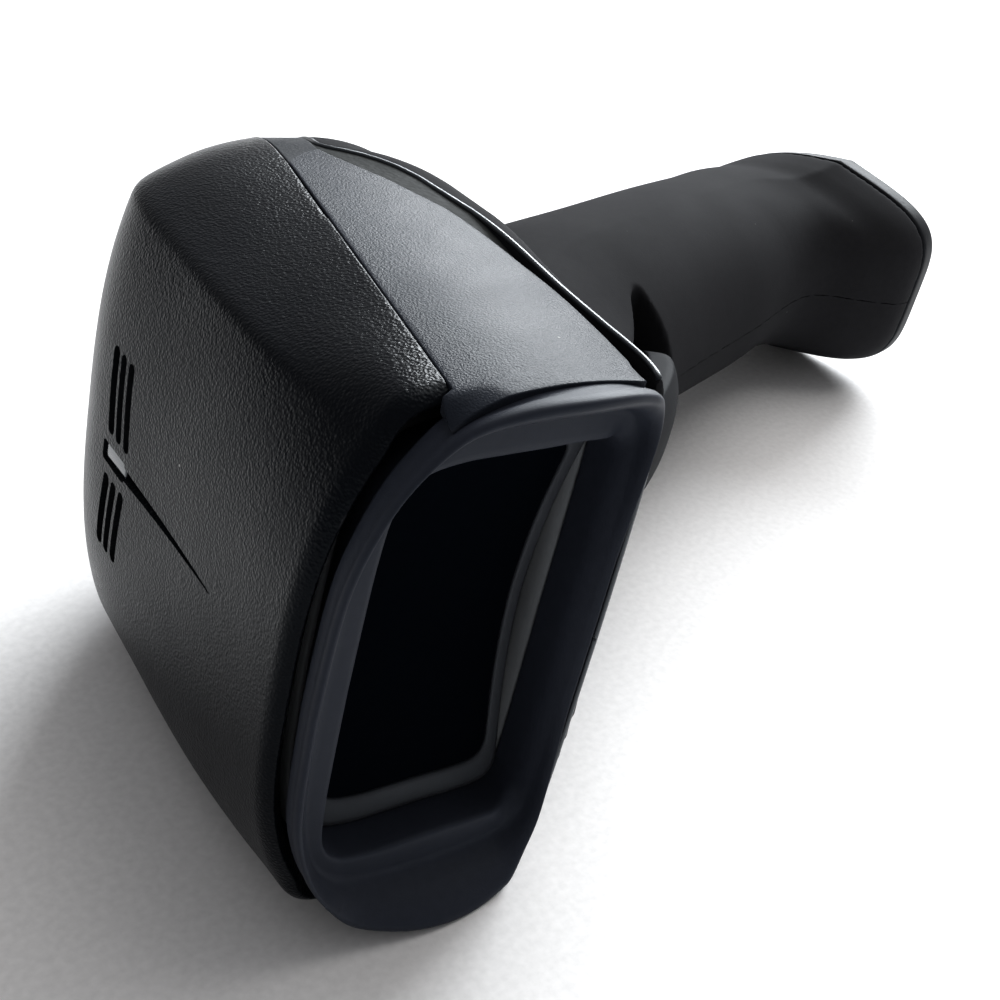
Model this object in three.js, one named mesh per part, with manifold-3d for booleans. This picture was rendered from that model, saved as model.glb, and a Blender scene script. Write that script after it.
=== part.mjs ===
// Handheld cordless barcode scanner, lying on its side, as an assembly of separate pieces.
// Millimetres. Every piece is drawn in the scanner's own axes and then laid down as one group:
//   x runs from the top of the head towards the foot of the grip,
//   y runs from the scan window towards the back of the head,
//   z runs across the width, and the plane z = 0 is the plane of symmetry.
import * as THREE from 'three';
import { mergeVertices } from 'three/addons/utils/BufferGeometryUtils.js';
import Module from 'manifold-3d';

const wasm = await Module();
wasm.setup();

// ---------------------------------------------------------------- driving dimensions
const WALL = 2.2;                 // moulded wall
const GAP = 0.35;                 // clearance between neighbouring pieces
const HALF_WIDTH = 33.5;          // head, at its side edges
const HEAD_BACK = 78.5;             // rearmost point of the head, along y
const ROOF_TURN = 48;             // where the roof starts to turn down, along y
const ROOF_RADIUS = 29;           // radius of that turn
const GRIP_TILT = THREE.MathUtils.degToRad(20);   // the grip leans back from square
const GRIP_TOP = 16;              // stations measured along the grip's axis
const GRIP_SEAM = 155.6;
const GRIP_END = 161;
const LENS_Y = 49;                // status lens, along y
const TRIGGER_HALF_WIDTH = 8.4;
const TRIGGER_TOP = 31;           // ends of the trigger blade along the grip's axis
const TRIGGER_BOTTOM = 70;
const PANE_RADIUS = 80;           // the scan window is bowed about an axis along x
const PANE_THICKNESS = 1.5;
const PANE_DEPTH = 9.4;           // deepest point of its front face, along y

// the pose at rest: the widest parts of the head and the foot touch the surface
const REST_PITCH = THREE.MathUtils.degToRad(5.52);
const REST_ROLL = THREE.MathUtils.degToRad(-0.36);

// ---------------------------------------------------------------- finishes
const finish = (color, roughness, metalness = 0) => () =>
  new THREE.MeshStandardMaterial({ color, roughness, metalness });
const FINISH = {
  grainedBlack: finish(0x17181a, 0.55),
  satinGrey: finish(0x3a3e44, 0.5),
  mattBlack: finish(0x1e1f21, 0.6),
  softSlate: finish(0x2b2e32, 0.7),
  smokedPane: finish(0x08080a, 0.08),
  clearLens: finish(0x1c2026, 0.2),
  board: finish(0x14503a, 0.5),
  darkPlastic: finish(0x101113, 0.5),
  steel: finish(0x9a9ca0, 0.35, 1),
  brass: finish(0xb59a55, 0.35, 1),
  cell: finish(0x2f5d8c, 0.4),
};

// ---------------------------------------------------------------- helpers
const { clamp, smoothstep, lerp } = THREE.MathUtils;

// a smooth function through [at, value] pairs
function through(pairs) {
  const slope = (i) => {
    const a = pairs[Math.max(i - 1, 0)];
    const b = pairs[Math.min(i + 1, pairs.length - 1)];
    return (b[1] - a[1]) / (b[0] - a[0]);
  };
  return (at) => {
    const t = clamp(at, pairs[0][0], pairs[pairs.length - 1][0]);
    let i = 0;
    while (i < pairs.length - 2 && t > pairs[i + 1][0]) i += 1;
    const [t0, v0] = pairs[i];
    const [t1, v1] = pairs[i + 1];
    const h = t1 - t0;
    const u = (t - t0) / h;
    const u2 = u * u;
    const u3 = u2 * u;
    return v0 * (2 * u3 - 3 * u2 + 1) + slope(i) * h * (u3 - 2 * u2 + u)
      + v1 * (3 * u2 - 2 * u3) + slope(i + 1) * h * (u3 - u2);
  };
}

function solid(geometry) {
  const bare = geometry.clone();
  bare.deleteAttribute('normal');
  bare.deleteAttribute('uv');
  const merged = mergeVertices(bare, 1e-4);
  return new wasm.Manifold(new wasm.Mesh({
    numProp: 3,
    vertProperties: new Float32Array(merged.attributes.position.array),
    triVerts: new Uint32Array(merged.index.array),
  }));
}

function geometryOf(manifold) {
  const mesh = manifold.getMesh();
  const geometry = new THREE.BufferGeometry();
  geometry.setAttribute('position', new THREE.BufferAttribute(mesh.vertProperties, 3));
  geometry.setIndex(new THREE.BufferAttribute(mesh.triVerts, 1));
  geometry.computeVertexNormals();
  return geometry;
}

const join = (...solids) => solids.reduce((all, one) => all.add(one));
const cut = (body, ...tools) => tools.reduce((all, one) => all.subtract(one), body);

// a closed solid through a row of rings, each a list of [x, y, z]
function loft(rings) {
  const count = rings[0].length;
  const points = rings.flat();
  const faces = [];
  for (let r = 0; r + 1 < rings.length; r += 1) {
    for (let i = 0; i < count; i += 1) {
      const a = r * count + i;
      const b = r * count + ((i + 1) % count);
      faces.push(a, b, a + count, b, b + count, a + count);
    }
  }
  for (const [ring, flip] of [[rings[0], true], [rings[rings.length - 1], false]]) {
    const centre = points.length;
    const start = flip ? 0 : centre - count - (points.length > rings.length * count ? 1 : 0);
    points.push([0, 1, 2].map((k) => ring.reduce((sum, p) => sum + p[k], 0) / count));
    for (let i = 0; i < count; i += 1) {
      const a = start + i;
      const b = start + ((i + 1) % count);
      faces.push(...(flip ? [b, a, centre] : [a, b, centre]));
    }
  }
  const geometry = new THREE.BufferGeometry();
  geometry.setAttribute('position', new THREE.Float32BufferAttribute(points.flat(), 3));
  geometry.setIndex(faces);
  const body = solid(geometry);
  return body.volume() > 0 ? body : solid(flipped(geometry));
}

function flipped(geometry) {
  const turned = geometry.clone();
  const index = turned.index.array;
  for (let i = 0; i < index.length; i += 3) {
    [index[i], index[i + 1]] = [index[i + 1], index[i]];
  }
  return turned;
}

function box(x0, x1, y0, y1, z0, z1) {
  const geometry = new THREE.BoxGeometry(x1 - x0, y1 - y0, z1 - z0);
  geometry.translate((x0 + x1) / 2, (y0 + y1) / 2, (z0 + z1) / 2);
  return solid(geometry);
}

// a turned piece: radius and height pairs about an axis from a point
function turned(profile, from, along, segments = 20) {
  const geometry = new THREE.LatheGeometry(profile.map(([r, h]) => new THREE.Vector2(r, h)), segments);
  const turn = new THREE.Quaternion().setFromUnitVectors(
    new THREE.Vector3(0, 1, 0), new THREE.Vector3(...along).normalize());
  geometry.applyQuaternion(turn);
  geometry.translate(...from);
  const body = solid(geometry);
  return body.volume() > 0 ? body : solid(flipped(geometry));
}
const rod = (radius, length, from, along, segments) =>
  turned([[0, 0], [radius, 0], [radius, length], [0, length]], from, along, segments);

// the grip's own axes: p along it towards the foot, b across it towards the back
const ALONG = [Math.cos(GRIP_TILT), Math.sin(GRIP_TILT), 0];
const BACK = [-Math.sin(GRIP_TILT), Math.cos(GRIP_TILT), 0];
const grip = (p, b, z = 0) => [0, 1, 2].map((k) => ALONG[k] * p + BACK[k] * b + (k === 2 ? z : 0));

function gripBox(p0, p1, b0, b1, z0, z1) {
  const geometry = new THREE.BoxGeometry(p1 - p0, b1 - b0, z1 - z0);
  geometry.translate((p0 + p1) / 2, (b0 + b1) / 2, (z0 + z1) / 2);
  geometry.rotateZ(GRIP_TILT);
  return solid(geometry);
}

// ---------------------------------------------------------------- the head's skin
// The roof is a low crown between two creases; beyond each crease a chamfer drops to the side
// edge, and below the side edge the side panel runs down to the tray.
const CREASE_HALF = 28.5;
const creaseLine = through([[0, -26.8], [12, -27.9], [25, -28], [45, -26.4], [61, -24.2], [70, -17], [76, -10]]);
const roofLine = (y, inset = 0) => (y < ROOF_TURN
  ? -30.2 - 2.9 * ((ROOF_TURN - y) / ROOF_TURN) ** 2.2
  : -1.2 - ROOF_RADIUS * Math.sqrt(1 - Math.min(1, (y - ROOF_TURN) / (HEAD_BACK - inset - ROOF_TURN)) ** 2));
const sideEdge = (y) => -20.5 + 0.235 * y;
const halfWidth = (y, inset = 0) =>
  HALF_WIDTH * (1 - clamp((y - 40) / (HEAD_BACK - inset - 40), 0, 1) ** 5) ** 0.22;
const keel = through([[-3, 6.9], [0, 7.4], [12, 10.3], [24, 14.5], [40, 21], [78, 26]]);
const RIM_X = 4.8;                // the side panels end here and the tray begins
const bulge = (y) => 1.3 * clamp(1 - y / 60, 0, 1);

// one section of the head, as a ring from the middle of the roof round to the keel and back
function headRing(y, inset) {
  const w = Math.max(halfWidth(y, inset) - inset, 0.4);
  const top = roofLine(y, inset) + inset;
  const side = Math.max(sideEdge(y), top + 0.8);
  const crease = clamp(creaseLine(y) + inset, top + 0.2, side - 0.4);
  const creaseHalf = w * CREASE_HALF / HALF_WIDTH;
  const rim = Math.max(RIM_X, side + 1.5);
  const bottom = Math.max(keel(y) - inset, rim + 1);
  const convex = lerp(1.4, 0.3, smoothstep(y, 0, 25)) + 0.5 * smoothstep(y, 35, 60);
  const half = [];
  for (const share of [0, 0.25, 0.5, 0.7, 0.86, 1]) {
    half.push([top + (crease - top) * share ** 2.9, creaseHalf * share]);
  }
  for (const share of [0.25, 0.5, 0.75]) {
    const swell = convex * Math.sin(Math.PI * share);
    half.push([lerp(crease, side, share) - 0.7 * swell, lerp(creaseHalf, w, share) + 0.7 * swell]);
  }
  for (const share of [0, 0.25, 0.5, 0.75, 1]) {
    half.push([lerp(side, rim, share), w + bulge(y) * Math.sin(Math.PI * share)]);
  }
  for (const angle of [18, 36, 52, 66, 78, 90].map(THREE.MathUtils.degToRad)) {
    half.push([rim + (bottom - rim) * Math.sin(angle) ** 0.9, w * Math.max(0, Math.cos(angle)) ** 0.7]);
  }
  half[half.length - 1][1] = 0;
  const mirrored = half.slice(1, -1).reverse().map(([x, z]) => [x, -z]);
  return [...half, ...mirrored].map(([x, z]) => [x, y, z]);
}

const HEAD_STATIONS = [6, 12, 18, 25, 34, 44, 50, 56, 61, 65, 68.5, 71.5, 74, 76, 77.4];
function headSolid(inset, front) {
  const last = HEAD_BACK - inset - 0.25;
  const stations = [front, ...HEAD_STATIONS.filter((y) => y > front + 1 && y < last - 0.8), last];
  return loft(stations.map((y) => headRing(y, inset)));
}

// ---------------------------------------------------------------- the grip's skin
const gripFront = through([[16, 8], [24, 8], [34, 8.5], [44, 10], [51, 13], [58, 16.8], [65, 20.4], [72, 22.8],
  [84, 24], [110, 24.8], [132, 26], [139, 24], [145, 18], [151, 13], [156, 12], [161, 11.8]]);
const gripBack = through([[16, 71], [30, 70], [46, 67], [68, 65], [88, 63.6], [111, 62.8], [136, 61.4],
  [150, 59.6], [156, 58], [161, 55]]);
const gripHalf = through([[16, 12], [40, 14.5], [60, 16.4], [88, 17], [111, 17.1], [132, 16.5], [145, 16.9],
  [151, 18.8], [156, 20.3], [161, 20.4]]);
const toeTaper = through([[16, 0.3], [60, 0.3], [80, 0.12], [125, 0.1], [145, 0.22], [161, 0.24]]);
const heelTaper = through([[16, 0], [130, 0], [145, 0.08], [156, 0.17], [161, 0.17]]);
const squareness = through([[16, 2.3], [125, 2.3], [146, 4], [161, 4.6]]);

function gripRing(p, inset, count = 28) {
  const front = gripFront(p) + inset;
  const back = gripBack(p) - inset;
  const centre = (front + back) / 2;
  const depth = (back - front) / 2;
  const half = gripHalf(p) - inset;
  const toePower = 2 / squareness(p);
  const heelPower = 2 / lerp(squareness(p), 2.3, 0.6);
  const ring = [];
  for (let i = 0; i < count; i += 1) {
    const angle = (i / count) * 2 * Math.PI;
    const c = Math.cos(angle);
    const s = Math.sin(angle);
    const power = c > 0 ? toePower : heelPower;
    const across = -Math.sign(c) * Math.abs(c) ** power;
    const narrowing = 1 - toeTaper(p) * Math.max(0, -across) - heelTaper(p) * Math.max(0, across);
    ring.push(grip(p, centre + depth * across, half * narrowing * Math.sign(s) * Math.abs(s) ** power));
  }
  return ring;
}

const GRIP_STATIONS = [16, 24, 34, 44, 51, 58, 65, 72, 84, 97, 111, 124, 132, 139, 145, 151, 155.6, 161];
function gripSolid(inset, from = GRIP_TOP, to = GRIP_END) {
  const stations = [from, ...GRIP_STATIONS.filter((p) => p > from + 1 && p < to - 1), to];
  return loft(stations.map((p) => gripRing(p, inset)));
}

// ---------------------------------------------------------------- cutting regions
const FAR = 120;
// everything above the cover's lower edge, which is a plane through both side edges
function aboveSideEdge(shift) {
  const slope = Math.atan(0.235);
  const geometry = new THREE.BoxGeometry(FAR, 2 * FAR, 2 * FAR);
  geometry.translate(-FAR / 2, 0, 0);
  geometry.rotateZ(-slope);
  geometry.translate(-20.5 + shift, 0, 0);
  return solid(geometry);
}
const aboveRim = (shift) => box(-FAR, RIM_X + shift, -FAR, FAR, -FAR, FAR);

// ---------------------------------------------------------------- the window end
const frontOuter = new THREE.SplineCurve([[-31, 0], [-30.6, 11], [-29.6, 17.5], [-27, 24.2], [-23.8, 29],
  [-20.3, 32.3], [-14.5, 34.3], [-8, 34.9], [-2, 34.4], [2.2, 32.8], [4.7, 29.2], [5.5, 23], [5.8, 11], [5.9, 0]]
  .map(([x, z]) => new THREE.Vector2(x, z)));
const frontInner = new THREE.SplineCurve([[-25.1, 0], [-25, 9], [-24.8, 16], [-24.1, 21.6], [-21.8, 24.6],
  [-17.6, 25.6], [-12, 25.7], [-7, 25.7], [-2.4, 25.8], [1.6, 25.5], [3.5, 23.9], [3.9, 20], [3.9, 10], [3.8, 0]]
  .map(([x, z]) => new THREE.Vector2(x, z)));
const lean = (x) => -3.4 * Math.exp(-(((x + 8) / 13) ** 2));   // the sides of the frame reach forward

// a ring between the outer outline (share 0) and the opening (share 1) at a depth
function frameRing(share, depth, follow = 1, grow = 0, count = 18) {
  const half = [];
  for (let i = 0; i <= count; i += 1) {
    const a = frontOuter.getPoint(i / count);
    const b = frontInner.getPoint(i / count);
    const x = lerp(a.x, b.x, share);
    const z = lerp(a.y, b.y, share);
    const push = 1 + grow / Math.hypot(x + 10, z);
    half.push([(x + 10) * push - 10, depth + follow * lean(x) * smoothstep(z, 8, 30), z * push]);
  }
  const mirrored = half.slice(1, -1).reverse().map(([x, y, z]) => [x, y, -z]);
  return [...half, ...mirrored];
}

// a closed band: rings joined in order, the last one back to the first
function band(rings) {
  const count = rings[0].length;
  const faces = [];
  for (let r = 0; r < rings.length; r += 1) {
    const next = (r + 1) % rings.length;
    for (let i = 0; i < count; i += 1) {
      const j = (i + 1) % count;
      faces.push(r * count + i, r * count + j, next * count + i);
      faces.push(r * count + j, next * count + j, next * count + i);
    }
  }
  const geometry = new THREE.BufferGeometry();
  geometry.setAttribute('position', new THREE.Float32BufferAttribute(rings.flat(2), 3));
  geometry.setIndex(faces);
  const body = solid(geometry);
  return body.volume() > 0 ? body : solid(flipped(geometry));
}

// ---------------------------------------------------------------- head: covers
const headOuter = headSolid(0, 0.9);
const headInner = headSolid(WALL, -4);

function topCover() {
  const shell = cut(headOuter, headInner).intersect(aboveSideEdge(-GAP));
  const mouth = box(-FAR, FAR, -FAR, 1, -FAR, FAR);
  return cut(shell, mouth, statusSlot(GAP), groove(), ...vents());
}

// the slot for the status lens, and the tapering groove that runs forward from it
function statusSlot(room) {
  return box(-40, -20, LENS_Y - 5 - room, LENS_Y + 1 + room, -1.15 - room, 1.15 + room);
}
function groove() {
  const outline = new THREE.Shape([[19.5, 0.15], [44, 0.8], [44, -0.8], [19.5, -0.15]]
    .map(([y, z]) => new THREE.Vector2(y, z)));
  const geometry = new THREE.ExtrudeGeometry(outline, { depth: 6, bevelEnabled: false });
  geometry.applyMatrix4(new THREE.Matrix4().set(0, 0, 1, 0, 1, 0, 0, 0, 0, 1, 0, 0, 0, 0, 0, 1));
  geometry.translate(-36, 0, 0);
  return cut(solid(geometry), headSolid(0.8, 0.9));
}
const VENT_PITCH = 2.25;
const VENT_SLANT = 0.145;
function vents() {
  const slots = [];
  for (const side of [-1, 1]) {
    for (let i = 0; i < 3; i += 1) {
      const slot = new THREE.BoxGeometry(20, i === 0 ? 1.5 : 1.1, 11);
      slot.rotateX(side * VENT_SLANT);
      slot.translate(-30, LENS_Y + 0.2 - i * VENT_PITCH, side * 8.2);
      slots.push(solid(slot));
    }
  }
  return slots;
}

function statusLens() {
  return cut(headOuter, headSolid(1.6, 0.9)).intersect(statusSlot(0));
}

// side walls and back wall in one moulding, with a deck across it for the scan engine
function headShell() {
  const front = box(-FAR, FAR, -FAR, -1, -FAR, FAR);
  const walls = cut(headSolid(0.25, -1.4), headSolid(WALL + 0.25, -6));
  const deck = box(DECK_X - 1.8, DECK_X, 15, 58, -31.6, 31.6);
  const flexSlot = box(-10, 10, 50, 57.5, -6, 6);
  const screwHoles = ENGINE_SCREWS.map((z) => rod(1.6, 12, [DECK_X - 6, ENGINE_SCREW_Y, z], [1, 0, 0], 14));
  return cut(join(walls, deck), aboveSideEdge(0), front, flexSlot, ...screwHoles).intersect(aboveRim(-0.6));
}

// ---------------------------------------------------------------- grip: the two handle shells
const PIVOT = [33, 18];           // trigger pivot, along and across the grip
const HOUSING_SCREWS = [[33, 52], [74, 52]];
const HOUSING_SCREW_SEAT = 10;    // depth of the screw heads' seats from the middle plane
const CAP_SCREW = [46, 11];       // base cap screws, across the grip and either side of the middle

const belowRim = (body) => cut(body, aboveRim(GAP));
const handleOuter = join(belowRim(headSolid(0, -1.5)), belowRim(gripSolid(0, GRIP_TOP, GRIP_SEAM)));
const handleHollow = join(headSolid(WALL, 1.4), gripSolid(WALL, GRIP_TOP + 4, GRIP_SEAM + 3));

function handleShell(side) {
  const half = side > 0
    ? box(-FAR, 2 * FAR, -FAR, 2 * FAR, 0.15, FAR)
    : box(-FAR, 2 * FAR, -FAR, 2 * FAR, -FAR, -0.15);
  const inner = handleOuter.intersect(half);
  const posts = HOUSING_SCREWS.map(([p, b]) => rod(4.4, 40, grip(p, b, side * 0.3), [0, 0, side], 14));
  const pivotPost = rod(3.4, 30, grip(...PIVOT, side * 9.2), [0, 0, side], 12);
  const capPost = gripBox(146.5, 155.2, 43, 49, side > 0 ? 8 : -FAR, side > 0 ? FAR : -8);
  const body = join(cut(inner, handleHollow), ...[...posts, pivotPost, capPost].map((post) => post.intersect(inner)));
  return cut(body, bezelSeat(), ...handleOpenings(side));
}

// the tray's front lip stands outside the bezel
function bezelSeat() {
  return loft([frameRing(0, -12, 0, GAP), frameRing(0, 1.75, 0, GAP)]);
}

function handleOpenings(side) {
  const room = TRIGGER_HALF_WIDTH + 0.6;
  const pocket = gripBox(TRIGGER_TOP - 1.6, TRIGGER_BOTTOM + 2.6, -30, 22, -room, room);
  const lowerPocket = gripBox(50, TRIGGER_BOTTOM + 2.6, 10, 29, -room, room);
  const pinBore = rod(1.85, 24, grip(...PIVOT, -12), [0, 0, 1], 12);
  const capBore = rod(1.45, 12, grip(145.5, CAP_SCREW[0], side * CAP_SCREW[1]), ALONG, 10);
  const screwBores = HOUSING_SCREWS.map(([p, b]) => rod(1.65, 20, grip(p, b, -11), [0, 0, 1], 10));
  const seats = side > 0 ? [] : HOUSING_SCREWS.map(([p, b]) =>
    rod(3.1, 40, grip(p, b, -HOUSING_SCREW_SEAT), [0, 0, -1], 14));
  return [pocket, lowerPocket, pinBore, capBore, ...screwBores, ...seats];
}

function baseCap() {
  const plate = loft([gripRing(156, 0), gripRing(159.8, 0.1), gripRing(161, 1.6)]);
  const hollow = loft([gripRing(155.5, WALL), gripRing(158.6, WALL + 0.5)]);
  const lip = cut(loft([gripRing(153, WALL + GAP), gripRing(159.2, WALL + GAP)]),
    loft([gripRing(152, WALL + GAP + 1.4), gripRing(158.6, WALL + GAP + 1.4)]));
  const blocks = [-1, 1].map((side) => {
    const [b, z] = CAP_SCREW;
    return gripBox(155.6, 160, b - 4.4, b + 4.4, side * z - 4.4, side * z + 4.4);
  });
  const ports = gripBox(150, 165, PORT_BACK - 2.05, PORT_BACK + 2.05, -5, 5);
  const bores = [-1, 1].flatMap((side) => [
    rod(1.5, 10, grip(154, CAP_SCREW[0], side * CAP_SCREW[1]), ALONG, 10),
    rod(3, 10, grip(158.6, CAP_SCREW[0], side * CAP_SCREW[1]), ALONG, 14),
  ]);
  const lipGaps = [-1, 1].map((side) => gripBox(150, 155.6, 42, 50, side > 0 ? 7 : -FAR, side > 0 ? FAR : -7));
  return cut(join(cut(plate, hollow), cut(lip, ...lipGaps), ...blocks), ports, ...bores);
}

// ---------------------------------------------------------------- window end
// room for the front edges of the cover and of the side panels behind the bezel
function bezelRebates() {
  const core = headSolid(WALL + 0.25 + GAP, -6);
  const panels = cut(headSolid(-1.5, -1 - GAP), core).intersect(box(-21.4, RIM_X - 0.25, -FAR, FAR, -FAR, FAR));
  const cover = cut(headSolid(-1.5, 1 - GAP), core).intersect(box(-FAR, -20, -FAR, FAR, -FAR, FAR));
  return [panels, cover];
}

function bezel() {
  const frame = band([
    frameRing(0.03, 0.6, 0), frameRing(0, -1.3, 0), frameRing(0, -1.9, 0.8), frameRing(0.05, -2.4),
    frameRing(0.16, -2.1), frameRing(0.4, -0.7, 0.5), frameRing(0.5, 0, 0), frameRing(0.9, 0, 0),
    frameRing(1, 0.7, 0), frameRing(1, 6, 0), frameRing(0.72, 6, 0), frameRing(0.5, 1.6, 0),
  ]);
  return cut(frame, ...bezelRebates());
}

function windowFrame() {
  return band([frameRing(1, 6.35, 0, 0.1), frameRing(1, 14, 0, 0.1), frameRing(1, 14, 0, 1.9),
    frameRing(1, 6.35, 0, 1.9)]);
}

// a bowed pane: the part of a thin tube that lies inside the frame
function scanWindow() {
  const tube = new THREE.Shape();
  const reach = Math.asin(26.5 / PANE_RADIUS);
  tube.absarc(0, 0, PANE_RADIUS + PANE_THICKNESS, -reach, reach, false);
  tube.absarc(0, 0, PANE_RADIUS, reach, -reach, true);
  const geometry = new THREE.ExtrudeGeometry(tube, { depth: 60, bevelEnabled: false, curveSegments: 20 });
  geometry.applyMatrix4(new THREE.Matrix4().set(0, 0, 1, -40, 1, 0, 0, PANE_DEPTH - PANE_RADIUS, 0, 1, 0, 0, 0, 0, 0, 1));
  const inside = loft([frameRing(1, 5, 0, -0.3), frameRing(1, 16, 0, -0.3)]);
  return solid(geometry).intersect(inside);
}

// ---------------------------------------------------------------- trigger
// a finger pad with a rounded face, whose foot curls back into the grip
const padFront = through([[31, 10], [40, 10.6], [46, 11.5], [52, 12.9], [58, 14.8], [63, 17], [67, 19.6], [70, 22]]);
const padHalf = through([[31, TRIGGER_HALF_WIDTH], [58, TRIGGER_HALF_WIDTH], [66, 7.6], [70, 5.6]]);
const PAD_SKIRT = 6.5;            // depth of the pad's side walls

function padRing(p, inset, skirt) {
  const front = padFront(p) + inset;
  const half = padHalf(p) - inset;
  const face = [-1, -0.85, -0.6, -0.3, 0, 0.3, 0.6, 0.85, 1].map((share) =>
    grip(p, front + 2.4 * Math.abs(share) ** 2.8, half * share));
  return [...face, grip(p, front + skirt, half), grip(p, front + skirt, -half)];
}

function trigger() {
  const outer = loft([TRIGGER_TOP, 40, 46, 52, 58, 63, 67, TRIGGER_BOTTOM].map((at) => padRing(at, 0, PAD_SKIRT)));
  const inner = loft([TRIGGER_TOP - 2, 46, 58, 66, TRIGGER_BOTTOM - 1.7].map((at) => padRing(at, 1.8, 14)));
  const [p, b] = PIVOT;
  const ears = [-1, 1].map((side) => join(
    rod(3.2, 4.2, grip(p, b, side > 0 ? 4.2 : -8.4), [0, 0, 1], 14),
    gripBox(p - 1.9, p + 2.4, padFront(p) + 3, b, side > 0 ? 4.2 : -8.4, side > 0 ? 8.4 : -4.2)));
  const rib = gripBox(46.6, 49.4, padFront(48) + 1, SWITCH_FACE - 2.9, -2.5, 2.5);
  const bore = rod(1.58, 24, grip(p, b, -12), [0, 0, 1], 16);
  return cut(join(cut(outer, inner), ...ears, rib), bore);
}

// a coil spring about the trigger pin, with a leg towards the trigger and one towards the board
class SpringPath extends THREE.Curve {
  getPoint(t, target = new THREE.Vector3()) {
    const [p, b] = PIVOT;
    const turns = 3.5;
    const coil = clamp((t - 0.15) / 0.7, 0, 1);
    const angle = coil * turns * 2 * Math.PI - Math.PI / 2;
    const reach = (share) => Math.max(0, share) / 0.15 * 7;
    const legIn = reach(0.15 - t);
    const legOut = reach(t - 0.85);
    const z = lerp(-2.8, 2.8, coil);
    return target.set(...grip(p + 2.7 * Math.cos(angle) + legOut * 0.98,
      b + 2.7 * Math.sin(angle) - legIn * 0.33 + legOut * 0.2, z));
  }
}
function ringSection(radius, count) {
  return new THREE.Shape(Array.from({ length: count }, (_, i) => {
    const angle = (i / count) * 2 * Math.PI;
    return new THREE.Vector2(radius * Math.cos(angle), radius * Math.sin(angle));
  }));
}
const sweep = (section, path, steps) =>
  solid(new THREE.ExtrudeGeometry(section, { steps, bevelEnabled: false, extrudePath: path }));

const triggerPin = () => rod(1.5, 23, grip(...PIVOT, -11.5), [0, 0, 1], 16);
const triggerSpring = () => sweep(ringSection(0.4, 5), new SpringPath(), 46);

// ---------------------------------------------------------------- inside the grip
const SWITCH_FACE = 26;           // front of the switch body, across the grip
const BOARD_FRONT = 33;           // front face of the main board, across the grip
const PORT_BACK = 31.1;           // middle of the charging port, across the grip
const CELL_RADIUS = 9.2;

function triggerSwitch() {
  const body = gripBox(43.5, 52.5, SWITCH_FACE, BOARD_FRONT - GAP, -3.2, 3.2);
  return cut(body, rod(1.6, 4, grip(48, SWITCH_FACE - 0.5), BACK, 12));
}
const switchPlunger = () => rod(1.2, 4, grip(48, SWITCH_FACE - 2.5), BACK, 12);

function mainBoard() {
  const board = gripBox(42, 155, BOARD_FRONT, BOARD_FRONT + 1.6, -10.5, 10.5);
  const chips = [[58, 9], [76, 7], [92, 12], [118, 8]].map(([p, size]) =>
    gripBox(p, p + size, BOARD_FRONT - 1.6, BOARD_FRONT + 0.3, -size / 2, size / 2));
  return join(board, ...chips);
}

function chargePort() {
  const body = gripBox(150.5, 160.2, PORT_BACK - 1.6, BOARD_FRONT - GAP, -4.6, 4.6);
  const mouth = gripBox(153, 161, PORT_BACK - 1.2, PORT_BACK + 1.2, -4.2, 4.2);
  const tongue = gripBox(152.5, 159, PORT_BACK - 0.35, PORT_BACK + 0.35, -3.4, 3.4);
  return join(cut(body, mouth), tongue);
}

const batteryCell = () => turned([[0, 0], [CELL_RADIUS - 0.6, 0], [CELL_RADIUS, 0.6], [CELL_RADIUS, 63.4],
  [CELL_RADIUS - 0.6, 64], [3, 64], [3, 65], [0, 65]], grip(80, 46), ALONG, 20);

function headFlex() {
  const path = new THREE.CatmullRomCurve3([[2.6, 54.6, 0], [7, 54.6, 0], [14, 53, 0], [21, 50.2, 0], [26.3, 47.7, 0]]
    .map((at) => new THREE.Vector3(...at)));
  const section = new THREE.Shape([[-4, -0.2], [4, -0.2], [4, 0.2], [-4, 0.2]].map(([a, b]) => new THREE.Vector2(a, b)));
  return sweep(section, path, 10);
}

// ---------------------------------------------------------------- scan engine
const DECK_X = 4.2;
const ENGINE_SCREW_Y = 32;
const ENGINE_SCREWS = [-11, 11];
const ENGINE_X = -9;              // optical axis

function engineChassis() {
  const block = box(-20, DECK_X - 2.15, 17.5, 38, -15, 15);
  const bore = rod(6, 30, [ENGINE_X, 12, 0], [0, 1, 0], 16);
  const back = box(-17, -1, 30, 40, -12, 12);
  const lampSlot = box(-3.4, 3, 16, 19.4, -16, 16);
  const screws = ENGINE_SCREWS.map((z) => rod(1.5, 9, [DECK_X - 9, ENGINE_SCREW_Y, z], [1, 0, 0], 14));
  return cut(block, bore, back, lampSlot, ...screws);
}
const imagingLens = () => turned([[0, 0], [3.4, 0], [3.4, 1], [5.6, 1], [5.6, 12], [4.6, 12], [4.6, 13.5], [0, 13.5]],
  [ENGINE_X, 15.5, 0], [0, 1, 0], 16);
function illuminationBar() {
  const strip = box(-3, 1.8, 17.6, 19, -14.5, 14.5);
  const lamps = [-11.4, -3.8, 3.8, 11.4].map((z) =>
    turned([[0, 0], [1.9, 0], [1.9, 1], [1.3, 2.2], [0, 2.7]], [-0.6, 17.9, z], [0, -1, 0], 8));
  return join(strip, ...lamps);
}
const sensorBoard = () => join(box(-21, 1.8, 38.4, 40, -15, 15), box(-13, -5, 39.8, 41.6, -5, 5));
function decodeBoard() {
  const chips = [[-20, 8, -14], [-8, 10, -2], [-18, 6, 12]].map(([x, size, z]) =>
    box(x, x + size, 50.6, 52.4, z - size / 2, z + size / 2));
  return join(box(-24, 1.8, 52, 53.6, -23, 23), ...chips);
}
const beeper = () => turned([[0, 0], [6, 0], [6, 4], [5.2, 4.6], [1.2, 4.6], [0.9, 3.6], [0, 3.6]],
  [-8, 54, 13], [0, 1, 0], 16);
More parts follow.
